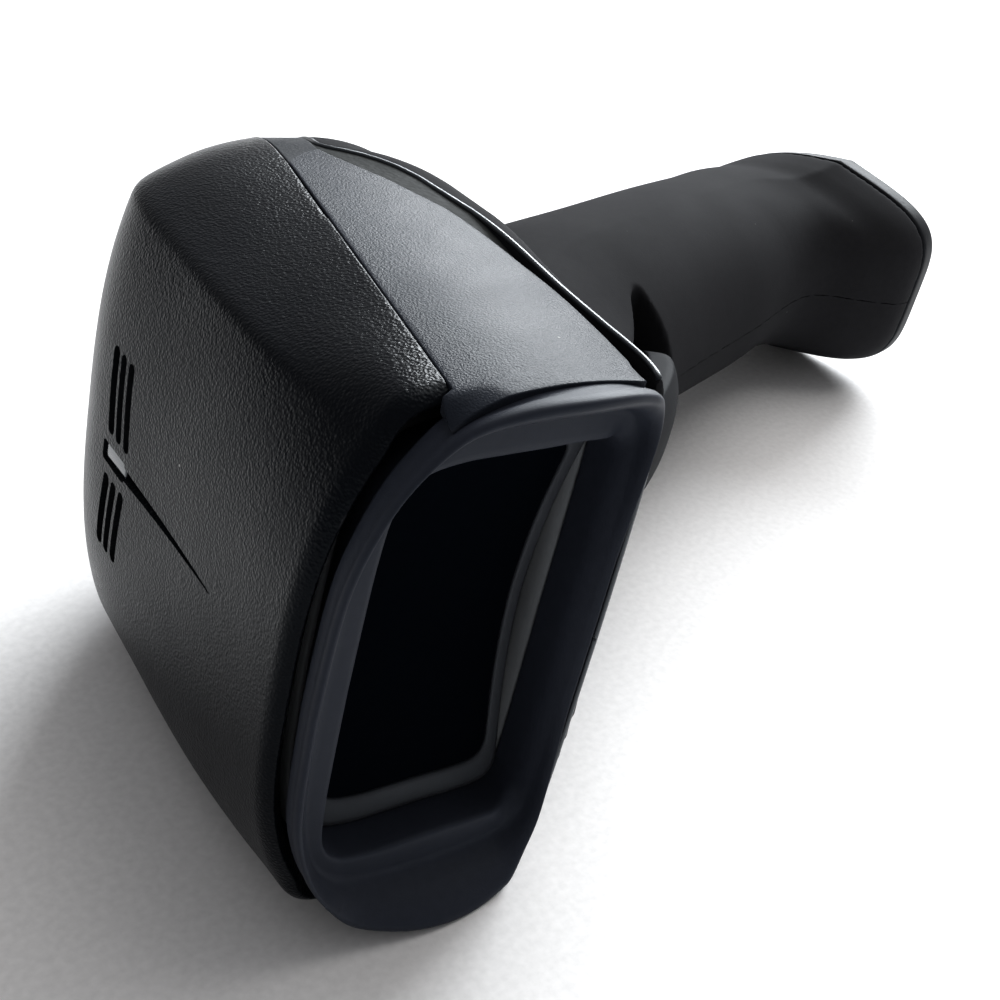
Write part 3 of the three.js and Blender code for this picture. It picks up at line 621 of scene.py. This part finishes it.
OUTER = spline([(-31, 0), (-30.6, 11), (-29.6, 17.5), (-27, 24.2), (-23.8, 29), (-20.3, 32.3), (-14.5, 34.3),
                (-8, 34.9), (-2, 34.4), (2.2, 32.8), (4.7, 29.2), (5.5, 23), (5.8, 11), (5.9, 0)])
INNER = spline([(-25.1, 0), (-25, 9), (-24.8, 16), (-24.1, 21.6), (-21.8, 24.6), (-17.6, 25.6), (-12, 25.7),
                (-7, 25.7), (-2.4, 25.8), (1.6, 25.5), (3.5, 23.9), (3.9, 20), (3.9, 10), (3.8, 0)])
RIM = OUTER(np.linspace(0, 0.6, 60))


# ---------------------------------------------------------------- side panels and back wall
def wall_path(front, inset=0.0):
    """Points along a horizontal walk from the left front edge, round the back, to the right front edge."""
    ys = stations(front, 60, 60)
    w = half_width(ys)
    side = [(y, s * (h - inset)) for s, order in ((1, 1), (-1, -1)) for y, h in list(zip(ys, w))[::order]]
    half = len(ys)
    across = np.linspace(side[half - 1][1], side[half][1], 44)[1:-1]
    back = [(BACK_WALL - inset * 0.999, z) for z in across]
    walk = side[:half] + back + side[half:]
    return [(min(y, BACK_WALL - inset * 0.999), z) for y, z in walk]


def wall_grid(top_room, low_room, sink=0.0):
    """The side walls and the back wall as one grid, from the cover's edge to the tray's lip."""
    columns = []
    shares = np.linspace(0, 1, 34)
    for y, z in wall_path(PANEL_FRONT + EDGE_RADIUS, inset=sink):
        top = float(side_edge(np.array(y))) + top_room - (1.3 if y < 1.0 else 0.0)
        low = float(panel_bottom(np.array(y))) - low_room
        x = mix(top, low, shares)
        share = np.clip((x - top + 0.3) / max(26, low - top + 0.6), 0, 1)
        swell = float(bulge(np.array(y))) * np.sin(np.pi * share)
        height = abs(z) + swell
        drop = height - np.minimum(height, np.interp(x, RIM[:, 0], RIM[:, 1]) + 0.5)
        height = height - drop * (1 - smoothstep(y, -2.0, 1.4))
        columns.append(np.stack([x, np.full_like(x, y), np.sign(z) * height], 1))
    return np.array(columns)


def tail_cut(gap, name):
    """A tool behind the slightly rounded line where the side panels end and the tail begins."""
    line = [(-12, 52.0), (-9, 54.0), (-7.3, 55.5), (-5.2, 57.6), (-3.0, 59.2), (-0.5, 60.4),
            (3, 61.2), (8, 61.6)]
    outline = [(x, y + gap) for x, y in line] + [(8, 100), (-40, 100), (-40, 52.0 + gap)]
    return prism(name, outline, (0, 0, 0), (1, 0, 0), (0, 1, 0), (0, 0, 1), -50, 50)


def make_walls():
    room = EDGE_RADIUS + SEAM
    panels = plate("side_panels", wall_grid(room, EDGE_RADIUS), 2.0, EDGE_RADIUS, INSIDE_HEAD)
    tail = plate("tail_wall", wall_grid(room, EDGE_RADIUS, 0.12), 2.0, EDGE_RADIUS, INSIDE_HEAD)
    boolean(panels, tail_cut(0.0, "tail_tool"), "DIFFERENCE")
    boolean(tail, tail_cut(SEAM, "tail_keep"), "INTERSECT")
    return crisp(panels), crisp(tail)


def make_core():
    """The inner wall behind the seam of the head: deep at the front, almost flush further back."""
    columns = []
    for y, z in wall_path(0.6):
        depth = mix(0.35, 3.0, 1 - float(smoothstep(y, 14, 44)))
        wide = max(abs(z) - depth, 0.1) / max(abs(z), 0.1)
        lip = float(tray_top(np.array(y)))
        end = lip + min(1.6, 0.25 * (float(keel(np.array(y))) - lip))
        x = np.linspace(float(panel_bottom(np.array(y))) - 4.0, end, 20)
        columns.append(np.stack([x, np.full_like(x, min(y, BACK_WALL - 0.6)), np.full_like(x, z * wide)], 1))
    return plate("head_core", np.array(columns), 0.8, 0.2, INSIDE_HEAD)


panels, tail = make_walls()
piece(panels, "housing", "panel", "satin_grey", "head_shell")
piece(tail, "housing", "tail", "satin_grey")
piece(make_core(), "housing", "core", "satin_grey")


# ---------------------------------------------------------------- tray and grip
def tray_rings():
    """The tray's outer skin, as rings from lip to lip."""
    rings = []
    angles = np.radians(np.linspace(0, 90, 34))
    for y in stations(TRAY_FRONT, 60, 44):
        w = float(half_width(np.array(y)))
        top = float(tray_top(np.array(y)))
        bottom = max(float(keel(np.array(y))), top + 1)
        x = top + (bottom - top) * np.sin(angles) ** 0.9
        z = w * np.clip(np.cos(angles), 0, None) ** 0.7
        half = np.stack([x, np.full_like(x, y), z], 1)
        other = half[:-1][::-1] * np.array([1, 1, -1])
        rings.append(np.concatenate([half, other]))
    return np.array(rings)


def head_cavity():
    """What the head's own parts take out of the tray, leaving a wall and a floor."""
    rings = []
    angles = np.radians(np.linspace(0, 90, 14))
    for y in stations(2.0, 30, 24)[:-1]:
        w = float(half_width(np.array(y))) - TRAY_WALL
        if w < 6:
            continue
        top = float(tray_top(np.array(y)))
        bottom = float(keel(np.array(y))) - TRAY_WALL
        x = np.minimum(top + (bottom - top) * np.sin(angles) ** 0.9, top + 3.6)
        x[0] = top - 14
        z = w * np.clip(np.cos(angles), 0, None) ** 0.7
        half = np.stack([x, np.full_like(x, min(y, BACK_WALL - TRAY_WALL)), z], 1)
        rings.append(np.concatenate([half, half[:-1][::-1] * np.array([1, 1, -1])]))
    return loft("cavity", rings, smooth=False)


def make_handle():
    body = loft("grip_and_tray", tray_rings())
    along = np.concatenate([np.linspace(18, 132, 50), np.linspace(134, GRIP_SEAM, 18)])
    stem = loft("stem", [grip_ring(p) for p in along])
    boolean(body, above_tray(stem), "UNION")
    boolean(body, head_cavity(), "DIFFERENCE")
    boolean(body, bezel_seat(), "DIFFERENCE")
    boolean(body, trigger_pocket(), "DIFFERENCE")
    for side in (-1, 1):
        knuckle = prism("knuckle", rounded(2.9, 2.9, 2.9), grip_point(*PIVOT), ALONG, BACK,
                        (0, 0, side), 8.8, 12.0)
        boolean(body, knuckle, "UNION")
    remesh(body, HANDLE_VOXEL, HANDLE_SMOOTHING)
    return body


def above_tray(stem):
    """Cuts the stem off where it would reach above the tray's floor."""
    square = [(-60, -60), (60, -60), (60, 60), (-60, 60)]
    tool = prism("above", square, (0, 40, 0), (0, 1, 0), (0, 0, 1), (1, 0, 0), -80, STEM_TOP)
    return boolean(stem, tool, "DIFFERENCE")


def lean(x):
    return -3.4 * np.exp(-(((x + 8) / 13) ** 2))


def frame_ring(share, depth, follow=1.0, grow=0.0, count=110, low=None):
    """One closed ring between the two outlines. low is its depth on the side next to the grip."""
    t = np.linspace(0, 1, count + 1)
    p = mix(OUTER(t), INNER(t), share)
    x, z = p[:, 0], p[:, 1]
    if low is not None:
        depth = mix(depth, low, smoothstep(OUTER(t)[:, 0], 0.5, 5.2))
    reach = x - OPENING_X
    push = 1 + grow / np.hypot(reach, z)
    forward = depth + follow * lean(x) * smoothstep(z, 8, 30)
    half = np.stack([reach * push + OPENING_X, forward, z * push], 1)
    mirrored = half[1:-1][::-1] * np.array([1, 1, -1])
    return np.concatenate([half, mirrored])


def band(name, rings):
    rings = np.asarray(rings)
    rows, cols = rings.shape[:2]
    faces = grid_faces(rows, cols, close_cols=True)
    last = (rows - 1) * cols
    for j in range(cols):
        k = (j + 1) % cols
        faces.append((last + j, last + k, k, j))
    return mesh_object(name, rings.reshape(-1, 3), faces)


def bezel_seat():
    return loft("seat", [frame_ring(0, -12, 0, 0.3), frame_ring(0, 2.2, 0, 0.3)], smooth=False)


def tube(name, path, radius):
    """A closed rounded strip along a path."""
    ahead = unit(np.roll(path, -1, 0) - np.roll(path, 1, 0))
    across = unit(np.cross(ahead, [1.0, 0, 0]))
    other = np.cross(across, ahead)
    turns = np.radians(np.arange(0, 360, TUBE_STEP))
    rings = [path + radius * (across * math.cos(a) + other * math.sin(a)) for a in turns]
    return band(name, rings)


def make_tray_lip():
    ys = stations(-0.9, 60, 40)
    z = half_width(ys) - 0.3
    rim = np.stack([tray_top(ys) + 0.25, np.minimum(ys, BACK_WALL - 0.3), z], 1)
    front = OUTER(np.linspace(0.78, 1, 40))
    front = np.stack([front[:, 0] + 0.55, np.full(40, -1.35), front[:, 1] * 1.012], 1)
    mirror = np.array([1, 1, -1])
    return tube("tray_lip", np.concatenate([rim, rim[::-1] * mirror, front[1:] * mirror, front[::-1]]), 0.34)


piece(make_tray_lip(), "housing", "lip", "matt_black")


# ---------------------------------------------------------------- trigger
pad_front = through([(31, 10), (40, 10.6), (46, 11.5), (52, 12.9), (58, 14.8), (63, 17),
                     (67, 19.6), (70, 22)])
pad_half = through([(31, TRIGGER_HALF), (58, TRIGGER_HALF), (66, 7.6), (70, 5.6)])


def pad_ring(p, inset=0.0, skirt=6.5, count=48):
    front = float(pad_front(p)) + inset
    half = float(pad_half(p)) - inset
    share = np.linspace(-1, 1, count)
    share = np.sign(share) * (1 - (1 - np.abs(share)) ** 1.3)
    face = grip_point(np.full(count, float(p)), front + 2.4 * np.abs(share) ** 2.8, half * share)
    corners = ((1, 3.4), (1, skirt), (-1, skirt), (-1, 3.4))
    sides = [grip_point(p, front + d, s * (half - 0.3 * (d - 3.4))) for s, d in corners]
    return np.concatenate([face, np.array(sides).reshape(-1, 3)])


def trigger_pocket():
    """A notch right across the grip in front of the trigger's skirt, and a narrower well behind it."""
    rings = []
    for p in np.linspace(29.4, 72.6, 24):
        edge = float(pad_front(p)) + 7.2 + 0.09 * max(p - PIVOT[0], 0)
        deep = max(29.0, edge + 0.5)
        section = ((-30, -30), (edge, -30), (edge, -WELL_HALF), (deep, -WELL_HALF), (deep, WELL_HALF),
                   (edge, WELL_HALF), (edge, 30), (-30, 30))
        rings.append(np.array([grip_point(p, b, z) for b, z in section]).reshape(-1, 3))
    return loft("pocket", rings, smooth=False)


def make_trigger():
    ps = np.concatenate([[31, 31.4], np.linspace(33, 66, 44), np.linspace(66.4, 69.6, 14), [70]])
    rings = [pad_ring(p) for p in ps]
    first = (rings[0] - rings[0].mean(0)) * 0.96 + rings[0].mean(0)
    last = (rings[-1] - rings[-1].mean(0)) * 0.90 + rings[-1].mean(0)
    body = loft("trigger_pad", [first, *rings[1:-1], last])
    hollow = loft("hollow", [pad_ring(p, 1.8, 14, 24) for p in (29, 46, 58, 66, 68.3)], smooth=False)
    boolean(body, hollow, "DIFFERENCE")
    for side in (-1, 1):
        ear = prism("ear", rounded(2.3, 3.6, 1.6), grip_point(33.2, 16.4), ALONG, BACK,
                    (0, 0, side), 4.2, 6.8)
        boolean(body, ear, "UNION")
    rib = prism("rib", rounded(1.4, 5.2, 0.4), grip_point(48, 17.9), ALONG, BACK, (0, 0, 1), -2.5, 2.5)
    boolean(body, rib, "UNION")
    remesh(body, TRIGGER_VOXEL, TRIGGER_SMOOTHING)
    return body


piece(make_trigger(), "trigger", "trigger", "soft_slate", "trigger")


# ---------------------------------------------------------------- handle halves
def half_of(source, name, side):
    obj = source.copy()
    obj.data = source.data.copy()
    obj.name = name
    bpy.context.scene.collection.objects.link(obj)
    bm = bmesh.new()
    bm.from_mesh(obj.data)
    normal = Vector(to_frame(np.array([0, 0, side * 1.0])) - to_frame(np.zeros(3)))
    at = Vector(to_frame(np.array([0, 0, side * PARTING])))
    cut = bmesh.ops.bisect_plane(bm, geom=bm.verts[:] + bm.edges[:] + bm.faces[:], dist=1e-7, plane_co=at,
                                 plane_no=normal, clear_inner=True)
    edges = [e for e in cut["geom_cut"] if isinstance(e, bmesh.types.BMEdge)]
    bmesh.ops.triangle_fill(bm, edges=edges, use_beauty=True, use_dissolve=False)
    bmesh.ops.recalc_face_normals(bm, faces=bm.faces)
    bm.to_mesh(obj.data)
    bm.free()
    return crisp(obj, 50)


handle = make_handle()
piece(half_of(handle, "handle_half_upper", 1), "housing", "handle", "matt_black", "handle_shell_upper")
lower = half_of(handle, "handle_half_lower", -1)
for p, b in SEATS:
    boolean(lower, revolve("seat", [(3.1, 0), (3.1, 30)], grip_point(p, b, -10.0), (0, 0, -1), 32),
            "DIFFERENCE")
piece(lower, "housing", "handle", "matt_black", "handle_shell_lower")
bpy.data.objects.remove(handle)


# ---------------------------------------------------------------- base cap
def make_cap():
    rings = [grip_ring(155.95, 3.0), grip_ring(155.95, 0.5), grip_ring(156.02, 0.22), grip_ring(156.2, 0.05),
             grip_ring(156.5, 0.0)]
    rings += [grip_ring(p, 0.0) for p in (157.2, 158, 158.8)]
    rings += [grip_ring(159.6 + 1.4 * math.sin(a), 1.6 * (1 - math.cos(a)))
              for a in np.linspace(0, math.pi / 2, 9)]
    rings.append(grip_ring(161, 2.6))
    cap = loft("base_plate", rings)
    port = prism("port", rounded(2.05, 5.0, 0.8), grip_point(150, 31.1), BACK, (0, 0, 1), ALONG, 0, 15)
    boolean(cap, port, "DIFFERENCE")
    for side in (-1, 1):
        steps = [(1.5, 0), (1.5, 5.4), (3.0, 5.4), (3.0, 9.6)]
        seat = revolve("seat", steps, grip_point(153.2, 46, side * CAP_SCREW_SIDE), ALONG, 40)
        boolean(cap, seat, "DIFFERENCE")
    return crisp(cap)


piece(make_cap(), "housing", "cap", "matt_black", "base_cap")
# a ring inside the seam between the cap and the grip, so that the gap has a floor
seam = loft("seam_ring", [grip_ring(p, 0.75) for p in (154.5, 155.4, 156.2, 157)])
piece(seam, "housing", "core", "matt_black")


# ---------------------------------------------------------------- window end
def make_bezel():
    # share of the way in, depth, how far it follows the forward lean, depth on the side next to the grip
    profile = [(0.10, 0.4, 0, 0.4), (0.06, 0.0, 0, 0.2), (0.05, -0.9, 0.3, -0.1),
               (0.05, -1.6, 0.55, -0.5), (0.0, -1.9, 0.8, -0.9), (0.0, -2.3, 1.0, -1.15),
               (0.012, -2.62, 1.0, -1.38), (0.04, -2.82, 1.0, -1.5), (0.08, -2.86, 1.0, -1.54),
               (0.12, -2.72, 1.0, -1.5), (0.16, -2.4, 1.0, -1.42), (0.22, -1.9, 0.95, -1.3),
               (0.30, -1.3, 0.85, -1.1), (0.37, -0.75, 0.65, -0.92), (0.42, -0.36, 0.4, -0.78),
               (0.47, -0.1, 0.15, -0.6), (0.52, 0.0, 0.0, -0.42), (0.62, 0.0, 0.0, -0.05),
               (0.74, 0.0, 0.0, 0.45), (0.85, 0.0, 0.0, 1.0), (0.94, 0.03, 0.0, 1.6),
               (0.975, 0.16, 0.0, 2.1), (0.993, 0.42, 0.0, 2.6), (1.0, 0.8, 0.0, 3.1),
               (1.0, 2.0, 0.0, 3.8), (1.0, 4.0, 0.0, 4.6), (1.0, 5.6, 0.0, 5.6), (0.99, 5.9, 0.0, 5.9),
               (0.96, 6.0, 0.0, 6.0), (0.8, 6.0, 0.0, 6.0), (0.72, 5.6, 0.0, 5.7), (0.5, 1.6, 0.0, 3.0),
               (0.42, 0.9, 0.0, 1.8), (0.3, 0.6, 0.0, 1.0)]
    rings = [frame_ring(share, depth, follow, low=low) for share, depth, follow, low in profile]
    return band("window_bezel", rings)


piece(make_bezel(), "housing", "bezel", "soft_slate", "bezel")

# the ledge's section: depth, and how far outside the opening's outline
ledge_section = ((6.35, 0.1), (9.5, 0.1), (14, 0.1), (14, 1.9), (6.35, 1.9))
ledge = band("pane_ledge", [frame_ring(1, depth, 0, grow) for depth, grow in ledge_section])
piece(ledge, "housing", "ledge", "satin_grey", "window_frame")


def bowed(depth, grow, rows=34):
    """A sheet inside the opening, bowed about an axis along x: its rings shrink to a spine."""
    rings = []
    for k in np.linspace(1, 0.02, rows):
        ring = frame_ring(1, 0, 0, grow, 40)
        ring[:, 0] = (ring[:, 0] - PANE_X) * k + PANE_X
        ring[:, 2] *= k
        ring[:, 1] = depth - PANE_RADIUS + np.sqrt(PANE_RADIUS**2 - ring[:, 2] ** 2)
        rings.append(ring)
    return rings


def make_pane():
    front = bowed(PANE_DEPTH, -0.4)
    back = bowed(PANE_DEPTH + PANE_THICKNESS, -0.4)[::-1]
    rim = bowed(PANE_DEPTH + 0.25, -0.15, 2)[0]
    rim2 = bowed(PANE_DEPTH + 1.25, -0.15, 2)[0]
    return loft("window_pane", front[::-1] + [rim, rim2] + back[::-1])


def make_gasket():
    """A soft strip lying on the rim of the pane."""
    rings = []
    for depth, scale in ((0.05, 1.0), (-0.35, 0.995), (-0.45, 0.97), (-0.45, 0.9),
                         (-0.35, 0.885), (0.05, 0.88)):
        ring = frame_ring(1, 0, 0, -0.15, 60)
        ring[:, 0] = (ring[:, 0] - PANE_X) * scale + PANE_X
        ring[:, 2] *= scale
        ring[:, 1] = PANE_DEPTH + depth - PANE_RADIUS + np.sqrt(PANE_RADIUS**2 - ring[:, 2] ** 2)
        rings.append(ring)
    return band("pane_gasket", rings)


piece(make_pane(), "housing", "pane", "smoked_pane", "scan_window")
piece(make_gasket(), "housing", "gasket", "satin_grey")


# ---------------------------------------------------------------- status lens
def make_lens():
    rings = []
    outline = np.array(rounded(*LENS_SIZE, LENS_RADIUS))
    for drop, inset in ((3.0, 0.0), (0.9, 0.0), (0.62, 0.02), (0.5, 0.14), (0.46, 0.4)):
        scale = 1 - inset / np.array(LENS_SIZE)
        a = outline * scale
        y = LENS_Y - 2 + a[:, 0]
        rings.append(np.stack([roof_line(y) + drop, y, a[:, 1]], 1))
    return loft("status_window", rings)


piece(make_lens(), "housing", "lens", "clear_lens", "status_lens")


# ---------------------------------------------------------------- pieces kept from the frame
KEPT = {
    "cap": ("trigger_pin",),
    "steel": ("trigger_spring", "charge_port", "housing_screw_1", "housing_screw_2", "cap_screw_lower",
              "cap_screw_upper", "engine_screw_1", "engine_screw_2"),
    "board": ("main_board", "sensor_board", "decode_board"),
    "core": ("trigger_switch", "engine_chassis", "beeper"),
    "brass": ("head_flex",),
    "cell": ("battery_cell",),
    "lens": ("switch_plunger", "imaging_lens", "illumination_bar", "status_led"),
}
for finish, names in KEPT.items():
    for name in names:
        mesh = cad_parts[name].data
        mesh.materials.clear()
        mesh.materials.append(MATERIAL[finish])

# ---------------------------------------------------------------- floor, light and camera
BRIGHT_SIDE = (0.5, 0.6, 0.6)    # where the studio is lightest, from the scanner

scene = bpy.context.scene
bpy.ops.mesh.primitive_plane_add(size=6, location=(0, 0, 0))
floor = bpy.context.object
floor.name = "floor"
floor.data.materials.append(material("floor_white", (0.88, 0.87, 0.865), 0.9, mottling=0.01,
                                     specular=0.0, rough_spread=0.0))

world = bpy.data.worlds.new("studio")
world.use_nodes = True
sky, sky_links = world.node_tree.nodes, world.node_tree.links
direction = sky.new("ShaderNodeTexCoord")
facing = sky.new("ShaderNodeVectorMath")
facing.operation = "DOT_PRODUCT"
facing.inputs[1].default_value = unit(REST_NP @ np.array(BRIGHT_SIDE))
sky_links.new(direction.outputs["Generated"], facing.inputs[0])
level = sky.new("ShaderNodeMapRange")
level.interpolation_type = "SMOOTHSTEP"
level.inputs["From Min"].default_value = -0.2
level.inputs["From Max"].default_value = 1.0
level.inputs["To Min"].default_value = 0.2
level.inputs["To Max"].default_value = 0.55
sky_links.new(facing.outputs["Value"], level.inputs["Value"])
sky_links.new(level.outputs["Result"], sky["Background"].inputs["Strength"])
sky["Background"].inputs["Color"].default_value = (0.98, 0.98, 1.0, 1)
scene.world = world
scene.view_settings.view_transform = "Standard"


def softbox(name, place, aim, size, watts, tint=(1, 1, 1)):
    light = bpy.data.lights.new(name, "AREA")
    light.shape = "RECTANGLE"
    light.size, light.size_y = size
    light.energy = watts
    light.color = tint
    obj = bpy.data.objects.new(name, light)
    scene.collection.objects.link(obj)
    at = Vector(to_frame(place))
    obj.location = at
    obj.rotation_mode = "QUATERNION"
    obj.rotation_quaternion = (Vector(to_frame(aim)) - at).to_track_quat("-Z", "Y")


softbox("window_light", (745, 590, 520), (20, 30, 0), (0.72, 0.4), 28, (0.93, 0.97, 1.0))
softbox("ceiling_light", (420, 150, 820), (40, 0, 0), (0.8, 0.8), 4.5, (1.0, 0.98, 0.96))

VIEW_FROM = np.array([-96.7, -90.0, 92.0])
VIEW_TO = np.array([-7.58, 4.56, 17.11])
VIEW_UP = np.array([0.146, 0.526, 0.838])
lens = bpy.data.cameras.new("photo_lens")
lens.sensor_width = 36
lens.lens = 52.24
lens.clip_start = 0.005
camera = bpy.data.objects.new("photo_camera", lens)
scene.collection.objects.link(camera)
forward = REST_NP @ unit(VIEW_TO - VIEW_FROM)
right = unit(np.cross(forward, REST_NP @ VIEW_UP))
up = np.cross(right, forward)
turn = Matrix(np.column_stack([right, up, -forward]).tolist()).to_4x4()
camera.matrix_world = Matrix.Translation(Vector(to_frame(VIEW_FROM))) @ turn
scene.camera = camera
